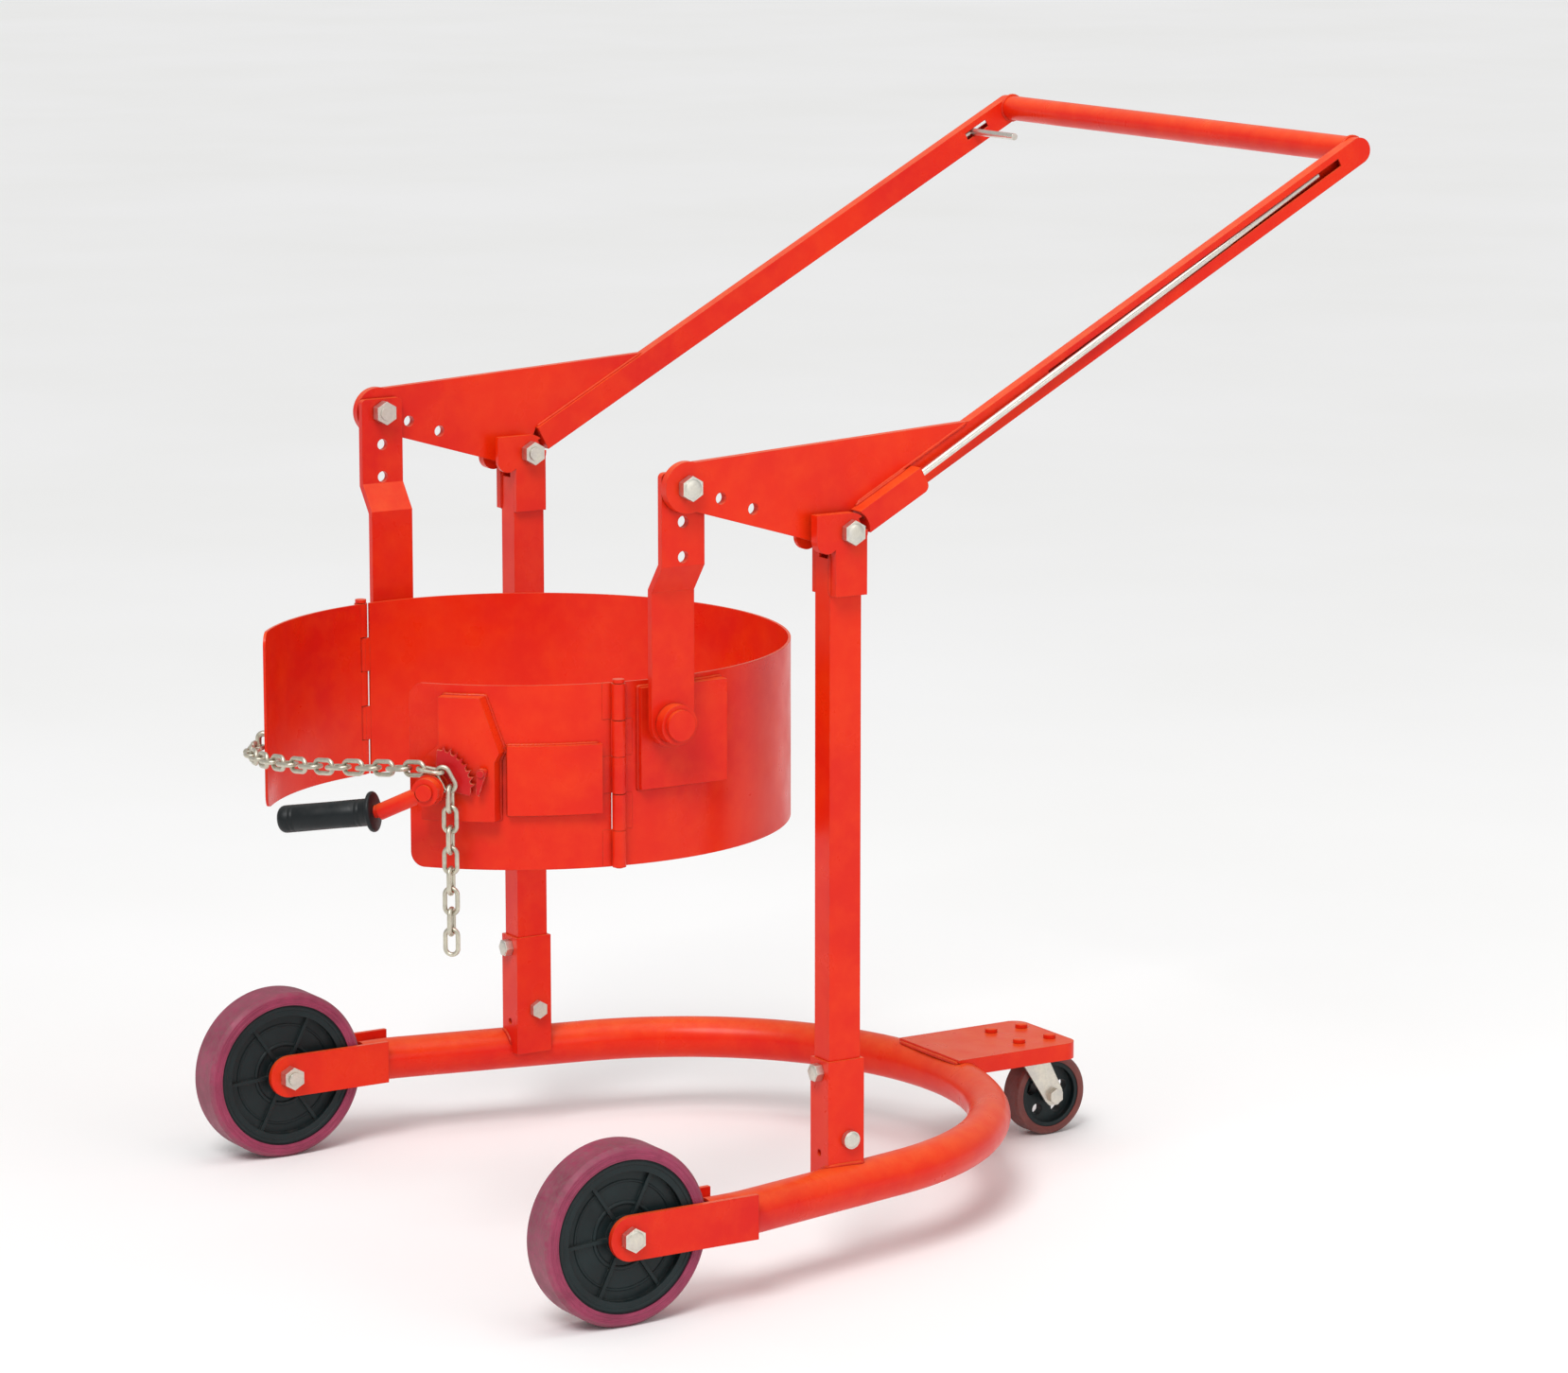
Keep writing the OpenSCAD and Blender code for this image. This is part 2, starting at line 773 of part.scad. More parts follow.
// Chain: the span is laid out from the clamp hub back to the anchor, by the length t along its plan.

span_n = 20;
tail_n = 8;

// A point beside the clamp axis: u to the right, v up, w out from the chain groove.
function on_clamp(u, v, w) = [(chain_R + w) * sin(clamp_a) + u * cos(clamp_a),
    -(chain_R + w) * cos(clamp_a) + u * sin(clamp_a), clamp_z + v];

span_end = on_clamp(-10.2, 21.3, -0.7);
span_d = norm([span_end[0], span_end[1]]);
leave_a = atan2(span_end[0], -span_end[1]) - acos(drape_r / span_d);
free_run = sqrt(span_d * span_d - drape_r * drape_r);

// How far the chain hangs below its hub end, and its slope.
function drop(t) = 0.112 * t - 0.00001 * t * t;
function climb(t) = 0.112 - 0.00002 * t;

// The plan length from the hub end to joint i.
function reach(i) = i == 0 ? 0 : let (t = reach(i - 1)) t + pitch / norm([1, climb(t + pitch / 2)]);

// A point of the span: straight off the hub, then round the front of the drum space.
function drape_a(t) = leave_a - (t - free_run) / drape_r * 180 / PI;
function on_span(t) = [t < free_run ? span_end[0] - t * cos(leave_a) : drape_r * sin(drape_a(t)),
    t < free_run ? span_end[1] - t * sin(leave_a) : -drape_r * cos(drape_a(t)), span_end[2] - drop(t)];
anchor_a = drape_a(reach(span_n) - 3.55);

// One welded link, its length along x, lying flat in the xy plane.
module chain_link() {
    a = pitch / 2 - 4.3;
    for (s = [0, 180]) rotate(s) {
        translate([a, 0, 0]) rotate(-90) rotate_extrude(angle = 180, $fn = 24)
            translate([7.1, 0]) circle(wire / 2, $fn = 24);
        translate([-a, 7.1, 0]) rotate([0, 90, 0]) cylinder(h = 2 * a, r = wire / 2, $fn = 24);
    }
}

// A link between two joints, turned about its own length by the given roll.
module link_between(p, q, roll) {
    d = q - p;
    translate((p + q) / 2) rotate([0, 0, atan2(d[1], d[0])]) rotate([0, -atan2(d[2], norm([d[0], d[1]])), 0])
        rotate([roll, 0, 0]) chain_link();
}

// A link centred beside the clamp axis, heading and sloping as given.
module clamp_link(u, v, w, heading, slope, roll) {
    translate(on_clamp(u, v, w)) rotate([0, 0, heading]) rotate([0, -slope, 0]) rotate([roll, 0, 0]) chain_link();
}

module chain_span() {
    color("silver") {
        for (i = [0:span_n - 1]) link_between(on_span(reach(i + 1)), on_span(reach(i)), 90 * ((i + 1) % 2));
        clamp_link(-0.5, 20.1, 0.2, 32.7, -5.1, 0);
        clamp_link(16.8, 11.4, 0, clamp_a, -60.5, 90);
    }
}

module chain_tail() {
    color("silver") for (i = [0:tail_n - 1]) clamp_link(21.2, -9.8 - pitch * i, 0, clamp_a, -90, 90 * (i % 2));
}

base_tube();
outer_fork_plates();
inner_fork_plates();
wheel_axles();
wheel_axle_nuts();
post_sockets();
post_right();
post_left();
outer_cheeks();
inner_cheeks();
socket_bolts();
clamp_screws();
pivot_bolts();
pivot_nuts();
caster_bracket();
caster_plate();
caster_bolts();
caster_nuts();
caster_fork();
caster_kingpin();
caster_axle();
caster_core();
caster_tread();
wheel_core_right();
wheel_tyre_right();
wheel_core_left();
wheel_tyre_left();
lever_plate_right();
lever_plate_left();
rail_right();
rail_left();
crossbar();
lock_box_right();
lock_box_left();
lever_spacers();
lock_rod_right();
lock_rod_left();
link_right();
link_left();
link_bolts();
link_nuts();
saddle_band();
trunnion_plates();
trunnion_pins();
trunnion_caps();
hinge_pins();
wing_right();
wing_left();
wing_rib_right();
wing_rib_left();
clamp_housing();
clamp_shaft();
ratchet_lever();
ratchet_sector();
lever_grip();
pawl();
chain_anchor();
chain_span();
chain_tail();
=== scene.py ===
"""Looks of the drum dolly: procedural materials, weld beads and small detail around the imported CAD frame."""
import json
import math

import bpy
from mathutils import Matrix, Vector, noise


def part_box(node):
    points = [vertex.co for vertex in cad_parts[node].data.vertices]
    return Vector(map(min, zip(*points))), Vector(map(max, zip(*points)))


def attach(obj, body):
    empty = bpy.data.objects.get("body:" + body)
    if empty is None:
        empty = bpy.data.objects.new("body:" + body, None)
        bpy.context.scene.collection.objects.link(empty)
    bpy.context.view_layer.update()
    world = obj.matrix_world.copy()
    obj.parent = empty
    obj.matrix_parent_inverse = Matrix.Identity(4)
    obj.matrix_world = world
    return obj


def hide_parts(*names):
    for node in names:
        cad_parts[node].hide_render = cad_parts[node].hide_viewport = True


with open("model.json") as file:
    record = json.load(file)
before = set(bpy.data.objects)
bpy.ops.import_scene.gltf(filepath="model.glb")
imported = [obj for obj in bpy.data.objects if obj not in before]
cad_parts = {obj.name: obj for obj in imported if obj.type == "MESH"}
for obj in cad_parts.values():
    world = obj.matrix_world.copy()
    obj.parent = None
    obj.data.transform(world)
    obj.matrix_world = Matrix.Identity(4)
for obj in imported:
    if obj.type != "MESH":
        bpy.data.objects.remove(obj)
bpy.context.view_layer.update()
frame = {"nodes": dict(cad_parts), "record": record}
nodes = frame["nodes"]

# Sizes that the pieces share with the CAD model, in metres and radians
RAIL_SLOPE = math.radians(28.5)
CLAMP_ANGLE = math.radians(43)
HOUSING_ANGLE = math.radians(38)
BAND_RADIUS = 0.298
TUBE_RADIUS = 0.025
TUBE_Z = 0.096
SPLAY = math.radians(12)
BEND_RADIUS = 0.358
BEND_Y = 0.2
TUBE_END_Y = -0.008
FORK_FACE = 0.0225
CRANK_BEND = (-0.0500, -0.0235)
LEVER_OUT = 0.0505
GRIP_SLOPE = math.radians(187.8)
GRIP_GAP = 0.0080
CLAMP_SCREW_Z = 0.226
HOUSING_CORNERS_MM = [(10, 529), (90, 529), (90, 594), (95, 604), (75, 664), (30, 664), (30, 612), (10, 594)]
RIB_START_RIGHT, RIB_START_LEFT, RIB_END = 57, 44, 76


def centre(node):
    """The middle of a CAD node's box."""
    low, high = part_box(node)
    return (Vector(low) + Vector(high)) / 2


PIVOT = centre("pivot_bolts")


# ---------------------------------------------------------------- materials

class Graph:
    """A material's node tree, with short calls for the nodes that it uses."""

    def __init__(self, name):
        self.material = bpy.data.materials.new(name)
        self.material.use_nodes = True
        self.tree = self.material.node_tree
        self.shader = self.tree.nodes["Principled BSDF"]
        self.place = self.add("ShaderNodeTexCoord").outputs["Object"]

    def add(self, kind, settings=None, **inputs):
        item = self.tree.nodes.new(kind)
        for key, value in (settings or {}).items():
            setattr(item, key, value)
        for key, value in inputs.items():
            self.put(item.inputs[key.replace("_", " ")], value)
        return item

    def put(self, socket, value):
        if isinstance(value, bpy.types.NodeSocket):
            self.tree.links.new(value, socket)
        else:
            socket.default_value = value

    def set(self, **inputs):
        for key, value in inputs.items():
            self.put(self.shader.inputs[key.replace("_", " ")], value)

    def noise(self, scale, detail=3.0, rough=0.55, place=None, distortion=0.0):
        item = self.add("ShaderNodeTexNoise", Scale=scale, Detail=detail, Roughness=rough,
                        Distortion=distortion, Vector=place or self.place)
        return item.outputs["Fac"]

    def stretched(self, x, y, z, turn=(0, 0, 0)):
        item = self.add("ShaderNodeMapping", Vector=self.place)
        item.inputs["Scale"].default_value = (x, y, z)
        item.inputs["Rotation"].default_value = turn
        return item.outputs["Vector"]

    def span(self, value, low, high, to_low=0.0, to_high=1.0):
        item = self.add("ShaderNodeMapRange", {"clamp": True})
        for key, number in zip(("Value", "From Min", "From Max", "To Min", "To Max"),
                               (value, low, high, to_low, to_high)):
            self.put(item.inputs[key], number)
        return item.outputs["Result"]

    def maths(self, operation, a, b=0.0):
        item = self.add("ShaderNodeMath", {"operation": operation})
        self.put(item.inputs[0], a)
        self.put(item.inputs[1], b)
        return item.outputs["Value"]

    def mix(self, amount, a, b):
        item = self.add("ShaderNodeMix", {"data_type": "RGBA", "clamp_factor": True})
        self.put(item.inputs["Factor"], amount)
        colour_a, colour_b, colour_out = item.inputs[6], item.inputs[7], item.outputs[2]
        for socket, value in ((colour_a, a), (colour_b, b)):
            self.put(socket, value if isinstance(value, bpy.types.NodeSocket) else (*value, 1.0))
        return colour_out

    def edges(self, radius):
        """A rounded normal, and a mask that is bright on sharp edges."""
        bevel = self.add("ShaderNodeBevel", {"samples": 4}, Radius=radius).outputs["Normal"]
        face = self.add("ShaderNodeNewGeometry").outputs["Normal"]
        dot = self.add("ShaderNodeVectorMath", {"operation": "DOT_PRODUCT"})
        self.put(dot.inputs[0], bevel)
        self.put(dot.inputs[1], face)
        return bevel, self.span(dot.outputs["Value"], 0.995, 0.86)

    def corners(self, distance):
        """A mask that is bright in inside corners."""
        hidden = self.add("ShaderNodeAmbientOcclusion", {"samples": 4}, Distance=distance)
        return self.span(hidden.outputs["AO"], 0.75, 0.2)

    def upward(self):
        """A mask that is bright on faces that look up."""
        normal = self.add("ShaderNodeNewGeometry").outputs["Normal"]
        parts = self.add("ShaderNodeSeparateXYZ", Vector=normal)
        return self.span(parts.outputs["Z"], 0.2, 0.95)

    def bump(self, height, strength, distance, normal=None):
        item = self.add("ShaderNodeBump", Height=height, Strength=strength, Distance=distance)
        if normal is not None:
            self.put(item.inputs["Normal"], normal)
        return item.outputs["Normal"]


def paint(name, main, deep, pale, chips=0.5, bare_and_highlight=(0.16, 0.11, 0.09)):
    """Sprayed enamel: a slow drift of colour, orange peel, worn edges, painted shade in inside corners, a painted
    highlight along edges and painted top light on upward faces.
    """
    g = Graph(name)
    drift = g.span(g.noise(4.5, 4), 0.35, 0.68)
    cloud = g.span(g.noise(34, 6, 0.62), 0.42, 0.72)
    peel = g.noise(520, 2)
    grain = g.noise(1900, 1)
    rounded, edge = g.edges(0.0011)
    scuff = g.maths("MULTIPLY", edge, g.span(g.noise(90, 7, 0.7), 0.52 - 0.1 * chips, 0.66))
    scratch = g.span(g.noise(26, 9, 0.8, g.stretched(9, 1, 5, (0.5, 0.2, 0.7))), 0.69, 0.73)
    # Painted shade: inside corners, found by ambient occlusion and broken up by noise, darken towards a deep
    # red-brown.
    painted_corner_shade = g.maths("MULTIPLY", g.corners(0.012), g.span(g.noise(70, 5), 0.25, 0.65))
    # Painted top light: faces that look up shift towards orange, broken up by noise.
    dust_and_top_light = g.maths("MULTIPLY", g.upward(), g.span(g.noise(55, 6, 0.7), 0.35, 0.8, 0.25, 0.6))
    colour = g.mix(drift, main, deep)
    colour = g.mix(g.maths("MULTIPLY", cloud, 0.35), colour, pale)
    # Painted highlight: every edge is lifted towards the paler orange-red.
    colour = g.mix(g.maths("MULTIPLY", edge, 0.3), colour, pale)
    colour = g.mix(g.maths("MULTIPLY", scratch, 0.35), colour, (0.62, 0.2, 0.11))
    # Edges chip through to the bare colour; on the ratchet enamel that colour is a bright tan painted highlight.
    colour = g.mix(g.maths("MULTIPLY", scuff, chips), colour, bare_and_highlight)
    colour = g.mix(g.maths("MULTIPLY", painted_corner_shade, 0.6), colour, (0.11, 0.022, 0.012))
    colour = g.mix(dust_and_top_light, colour, (0.82, 0.17, 0.035))
    gloss = g.span(g.noise(18, 5), 0.3, 0.75, 0.24, 0.42)
    gloss = g.maths("ADD", gloss, g.maths("MULTIPLY", scuff, 0.3))
    height = g.maths("ADD", g.maths("MULTIPLY", peel, 0.8), g.maths("MULTIPLY", grain, 0.2))
    height = g.maths("SUBTRACT", height, g.maths("MULTIPLY", scuff, 0.7))
    g.set(Base_Color=colour, Roughness=gloss, Normal=g.bump(height, 0.22, 0.0004, rounded))
    g.set(Coat_Weight=0.05, Coat_Roughness=0.2, Specular_IOR_Level=0.2)
    return g.material


def plated(name, main, tint, dull, rough=0.3, brushed=(1, 1, 1)):
    """Zinc-plated steel: cloudy plating, fine drawn lines, dull patches and a little rust."""
    g = Graph(name)
    cloud = g.span(g.noise(60, 5, 0.6), 0.35, 0.7)
    spangle = g.span(g.noise(300, 3), 0.4, 0.65)
    lines = g.noise(420, 3, 0.6, g.stretched(*brushed))
    rounded, edge = g.edges(0.0007)
    rust = g.maths("MULTIPLY", g.span(g.noise(130, 8, 0.75), 0.6, 0.72),
                   g.maths("ADD", g.corners(0.006), 0.18))
    colour = g.mix(cloud, main, tint)
    colour = g.mix(g.maths("MULTIPLY", spangle, 0.35), colour, dull)
    # Painted highlight: every edge is lifted towards a pale, bright zinc.
    colour = g.mix(g.maths("MULTIPLY", edge, 0.5), colour, (0.86, 0.84, 0.78))
    colour = g.mix(g.maths("MULTIPLY", rust, 0.8), colour, (0.2, 0.085, 0.035))
    gloss = g.maths("ADD", g.span(cloud, 0, 1, rough, rough + 0.16), g.maths("MULTIPLY", rust, 0.35))
    height = g.maths("ADD", g.maths("MULTIPLY", lines, 0.6), g.maths("MULTIPLY", spangle, 0.25))
    g.set(Base_Color=colour, Roughness=gloss, Normal=g.bump(height, 0.2, 0.0003, rounded))
    g.set(Metallic=g.span(rust, 0, 1, 0.92, 0.25))
    return g.material


def rolled(g, hub):
    """How far a point lies from a wheel's axle, and a place that runs round the wheel."""
    parts = g.add("ShaderNodeSeparateXYZ", Vector=g.place)
    y = g.maths("SUBTRACT", parts.outputs["Y"], hub.y)
    z = g.maths("SUBTRACT", parts.outputs["Z"], hub.z)
    radius = g.maths("SQRT", g.maths("ADD", g.maths("MULTIPLY", y, y), g.maths("MULTIPLY", z, z)))
    turn = g.maths("ARCTAN2", z, y)
    ring = g.add("ShaderNodeCombineXYZ")
    for socket, value in zip(ring.inputs, (parts.outputs["X"], radius, g.maths("MULTIPLY", turn, 0.02))):
        g.put(socket, value)
    return radius, ring.outputs["Vector"]


def tread(name, main, deep, hub, outer):
    """Cast polyurethane: cloudy colour, turning marks and a scuffed, dusty rolling face."""
    g = Graph(name)
    radius, ring = rolled(g, hub)
    cloud = g.span(g.noise(30, 5), 0.35, 0.7)
    streak = g.span(g.noise(420, 5, 0.65, ring), 0.4, 0.7)
    pits = g.span(g.noise(650, 4, 0.7), 0.6, 0.75)
    rolling = g.span(radius, outer - 0.006, outer - 0.001)
    scuff = g.maths("MULTIPLY", rolling, g.span(g.noise(150, 7, 0.72), 0.35, 0.7))
    rounded, edge = g.edges(0.0018)
    colour = g.mix(cloud, main, deep)
    colour = g.mix(g.maths("MULTIPLY", streak, 0.3), colour, tuple(0.5 * c for c in deep))
    # Painted highlight: every edge is lifted towards a lighter tone of the tread.
    colour = g.mix(g.maths("MULTIPLY", edge, 0.35), colour, tuple(min(1, 1.5 * c + 0.03) for c in main))
    colour = g.mix(g.maths("MULTIPLY", scuff, 0.55), colour, (0.2, 0.135, 0.13))
    gloss = g.maths("ADD", g.span(cloud, 0, 1, 0.4, 0.52), g.maths("MULTIPLY", scuff, 0.3))
    height = g.maths("SUBTRACT", g.maths("MULTIPLY", streak, 0.5), g.maths("MULTIPLY", pits, 0.6))
    g.set(Base_Color=colour, Roughness=gloss, Normal=g.bump(height, 0.3, 0.0004, rounded))
    g.set(Specular_IOR_Level=0.45)
    return g.material


def moulded(name, main, rubbed_and_highlight, dusty, rough=0.45, grain=800):
    """Moulded plastic: fine grain, flow marks, rubbed edges lightened partly as a painted highlight, and settled
    dust.
    """
    g = Graph(name)
    cloud = g.span(g.noise(22, 5), 0.35, 0.7)
    fine = g.noise(grain, 2)
    flow = g.noise(60, 4, 0.6, g.stretched(1, 3, 1), 1.5)
    rounded, edge = g.edges(0.0012)
    dust_and_top_light = g.maths("MULTIPLY", g.span(g.noise(95, 7, 0.72), 0.4, 0.75),
                   g.maths("ADD", g.maths("MULTIPLY", g.upward(), 0.6), g.corners(0.01)))
    colour = g.mix(cloud, main, tuple(1.7 * c for c in main))
    # Edges lifted towards a lighter grey: rubbed wear and a painted highlight.
    colour = g.mix(g.maths("MULTIPLY", edge, 0.6), colour, rubbed_and_highlight)
    colour = g.mix(g.maths("MULTIPLY", dust_and_top_light, dusty), colour, (0.22, 0.18, 0.15))
    gloss = g.span(flow, 0.3, 0.7, rough - 0.06, rough + 0.08)
    gloss = g.maths("ADD", gloss, g.maths("MULTIPLY", dust_and_top_light, 0.25))
    height = g.maths("ADD", fine, flow)
    g.set(Base_Color=colour, Roughness=gloss, Normal=g.bump(height, 0.16, 0.0004, rounded))
    g.set(Specular_IOR_Level=0.3)
    return g.material


RED = (0.78, 0.024, 0.002)
DEEP_RED = (0.66, 0.009, 0.005)
PALE_RED = (0.84, 0.055, 0.006)
enamel = paint("enamel_red", RED, DEEP_RED, PALE_RED, 0.5)
weld_enamel = paint("enamel_weld", (0.66, 0.022, 0.004), (0.48, 0.010, 0.006), PALE_RED, 0.35)
# Ratchet sector and pawl: a darker, bluer crimson that is painted shade on the pawl and a painted reflection of
# the blue drum on the sector, with heavy edge wear whose bright tan colour is a painted highlight on the teeth.
worn_enamel_with_painted_light = paint("enamel_worn_with_painted_light", (0.60, 0.010, 0.012), (0.45, 0.006, 0.012), (0.74, 0.03, 0.012), 0.95,
                    (0.74, 0.50, 0.30))
zinc = plated("zinc_plate", (0.72, 0.68, 0.58), (0.62, 0.60, 0.56), (0.5, 0.48, 0.42))
zinc_rod = plated("zinc_rod", (0.80, 0.76, 0.68), (0.70, 0.68, 0.62), (0.55, 0.52, 0.46), 0.24, (3, 0.15, 0.3))
zinc_chain = plated("zinc_chain", (0.66, 0.62, 0.50), (0.56, 0.53, 0.44), (0.42, 0.39, 0.31), 0.34)
front_hub = centre("wheel_core_right")
caster_hub = centre("caster_core")
tyre = tread("tread_burgundy", (0.33, 0.035, 0.095), (0.22, 0.020, 0.060), front_hub, 0.1)
caster_tyre = tread("tread_brown", (0.20, 0.040, 0.030), (0.12, 0.026, 0.022), caster_hub, 0.05)
core = moulded("core_black", (0.004, 0.010, 0.011), (0.02, 0.03, 0.032), 0.2)
grip = moulded("grip_black", (0.004, 0.006, 0.007), (0.02, 0.022, 0.024), 0.12, 0.42, 500)

by_slot = {"frame_paint": enamel, "zinc": zinc, "wheel_hub": core, "wheel_tread": tyre, "grip_plastic": grip}
by_node = {"caster_tread": caster_tyre, "ratchet_sector": worn_enamel_with_painted_light, "pawl": worn_enamel_with_painted_light,
           "clamp_shaft": enamel, "hinge_pins": enamel, "caster_bolts": enamel,
           "chain_span": zinc_chain, "chain_tail": zinc_chain, "chain_anchor": zinc_chain,
           "lock_rod_right": zinc_rod, "lock_rod_left": zinc_rod}
for part in frame["record"]["subparts"]:
    shown = nodes[part["node"]]
    shown.data.materials.clear()
    shown.data.materials.append(by_node.get(part["node"], by_slot[part["material_slot"]]))


# ---------------------------------------------------------------- mesh pieces

def piece(name, verts, faces, material, body, smooth=True):
    """A mesh object in the row frame that rides on a CAD body."""
    mesh = bpy.data.meshes.new(name)
    mesh.from_pydata([tuple(v) for v in verts], [], faces)
    mesh.update()
    if smooth:
        mesh.polygons.foreach_set("use_smooth", [True] * len(mesh.polygons))
    mesh.materials.append(material)
    item = bpy.data.objects.new(name, mesh)
    bpy.context.collection.objects.link(item)
    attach(item, body)
    return item


def resample(path, step):
    """Points along a polyline at an even step, corners kept."""
    out = [path[0]]
    for a, b in zip(path, path[1:]):
        count = max(1, round((b - a).length / step))
        out += [a.lerp(b, k / count) for k in range(1, count + 1)]
    return out


def sweep(path, radius, verts, faces, sides=8):
    """A tube along a path, closed into a ring where the path ends where it starts."""
    loop = (path[0] - path[-1]).length < 1e-6
    points = path[:-1] if loop else path
    total = len(points)
    normal = None
    first = len(verts)
    for i, p in enumerate(points):
        ahead = points[(i + 1) % total] if loop or i + 1 < total else points[i]
        behind = points[i - 1] if loop or i > 0 else points[i]
        along = (ahead - behind).normalized()
        if normal is None:
            normal = along.orthogonal().normalized()
        normal = (normal - along * normal.dot(along)).normalized()
        side = along.cross(normal)
        r = radius(i, total)
        for k in range(sides):
            a = 2 * math.pi * k / sides
            verts.append(p + (normal * math.cos(a) + side * math.sin(a)) * r)
    rings = total if loop else total - 1
    for i in range(rings):
        j = (i + 1) % total
        for k in range(sides):
            m = (k + 1) % sides
            faces.append((first + i * sides + k, first + i * sides + m,
                          first + j * sides + m, first + j * sides + k))
    if not loop:
        faces.append(tuple(first + k for k in reversed(range(sides))))
        faces.append(tuple(first + (total - 1) * sides + k for k in range(sides)))


BEAD_STEP = 0.00125
RIPPLE = 0.0045


def beads(name, paths, body, width=0.0026):
    """Weld beads: rippled, slightly wandering and drawn out thin at both ends."""
    verts, faces = [], []
    for path in paths:
        line = resample(path, BEAD_STEP)
        loop = (line[0] - line[-1]).length < 1e-6
        line = [p + noise.noise_vector(p * 160) * width * 0.1 for p in line[:-1]]
        line.append(line[0].copy() if loop else line[-1] + (path[-1] - path[-2]).normalized() * BEAD_STEP)

        def swell(i, total):
            ripple = 0.87 + 0.13 * abs(math.sin(math.pi * i * BEAD_STEP / RIPPLE))
            end = 1.0 if loop else min(1.0, math.sqrt((min(i, total - 1 - i) + 0.5) / 4))
            return width * ripple * max(0.3, end)

        sweep(line, swell, verts, faces, 7)
    return piece(name, verts, faces, weld_enamel, body)


def both(path):
    """A path and its mirror image."""
    return [path, [Vector((-p.x, p.y, p.z)) for p in path]]


def on_rail(x, t, n):
    """A point by the lever's rail: t up along it from the pivot, n square to it."""
    c, s = math.cos(RAIL_SLOPE), math.sin(RAIL_SLOPE)
    return Vector((x, PIVOT.y + t * c - n * s, PIVOT.z + t * s + n * c))


def on_band(angle, z, proud=0.0, side=1):
    """A point on the outside of the drum band, the angle counted from the front."""
    a = math.radians(angle)
    r = BAND_RADIUS + proud
    return Vector((side * r * math.sin(a), -r * math.cos(a), z))


def on_clamp(u, v, out):
    """A point beside the clamp axis: u to the right, v up, out from the band."""
    a, r = CLAMP_ANGLE, BAND_RADIUS + out
    clamp_z = centre("clamp_shaft").z
    return Vector((r * math.sin(a) + u * math.cos(a), -r * math.cos(a) + u * math.sin(a), clamp_z + v))


def box_of(node):
    low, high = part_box(node)
    return Vector(low), Vector(high)


# Base welds: fork plates to tube, sockets to tube, caster bracket to tube, cheeks to posts
base_paths = []
fork_end = {1: box_of("outer_fork_plates")[1].y, -1: box_of("inner_fork_plates")[1].y}
wheel_x = front_hub.x
for dz in (-0.0150, 0.0150):
    for face in (1, -1):
        x = wheel_x + face * FORK_FACE
        base_paths += both([Vector((x, TUBE_END_Y + 0.004, TUBE_Z + dz)),
                            Vector((x, fork_end[face] - 0.001, TUBE_Z + dz))])
leg_x0 = BEND_RADIUS * math.cos(SPLAY)
leg_y0 = BEND_Y + BEND_RADIUS * math.sin(SPLAY)


def tube_top(x, y):
    """Height of the base tube's upper skin beside a point of its straight leg."""
    across = (x - leg_x0 - (leg_y0 - y) * math.tan(SPLAY)) * math.cos(SPLAY)
    return TUBE_Z + math.sqrt(max(0.0, TUBE_RADIUS ** 2 - across ** 2))


socket_low, socket_high = box_of("post_sockets")
socket_x = (socket_high.x - 0.0366, socket_high.x)
for y in (socket_low.y, socket_high.y):
    steps = [socket_x[1] + 0.0003 - k * 0.0015 for k in range(17)]
    line = [Vector((x, y, tube_top(x, y) + 0.0006)) for x in steps if tube_top(x, y) > TUBE_Z + 0.004]
    base_paths += both(line)
base_paths += both([Vector((socket_x[1], y / 1000, tube_top(socket_x[1], y / 1000) + 0.0006))
                    for y in range(round(socket_low.y * 1000), round(socket_high.y * 1000) + 1, 2)])
bracket_low, bracket_high = box_of("caster_bracket")
base_paths.append([Vector((x / 1000, bracket_low.y - 0.0006, bracket_high.z - 0.0045))
                   for x in range(-63, 64, 3)])
post_low, post_high = box_of("post_right")
cheek_low = box_of("outer_cheeks")[0]
for y in (post_low.y, post_high.y):
    base_paths += both([Vector((post_high.x + 0.0003, y, cheek_low.z)),
                        Vector((post_high.x + 0.0003, y, post_high.z - 0.002))])
base_paths += both([Vector((post_high.x + 0.0003, post_low.y, cheek_low.z)),
                    Vector((post_high.x + 0.0003, post_high.y, cheek_low.z))])
beads("welds_base", base_paths, "base")

# Lever welds: plates to rails, crossbar to rails, lock boxes to plates
plate_low, plate_high = box_of("lever_plate_right")
rail_inside = box_of("rail_right")[0].x
lever_paths = []
for x in (plate_low.x, plate_high.x - 0.0006):
    lever_paths += both([on_rail(x, 0.030, 0.0153), on_rail(x, 0.192, 0.0153)])
bar = centre("crossbar")
bar_edge = 0.0152
ring = [Vector((rail_inside + 0.0002, bar.y + bar_edge * math.cos(a), bar.z + bar_edge * math.sin(a)))
        for a in (2 * math.pi * k / 48 for k in range(48))]
lever_paths += both(ring + [ring[0]])
for n in (-0.0137, 0.0137):
    lever_paths += both([on_rail(plate_high.x + 0.0006, 0.026, n), on_rail(plate_high.x + 0.0006, 0.1, n)])
beads("welds_lever", lever_paths, "lever", 0.0022)

# Saddle welds round the trunnion plates
trunnion_low, trunnion_high = box_of("trunnion_plates")


def band_y(y, z, proud=0.0004):
    r = BAND_RADIUS + proud
    return Vector((math.sqrt(r * r - y * y), y, z))


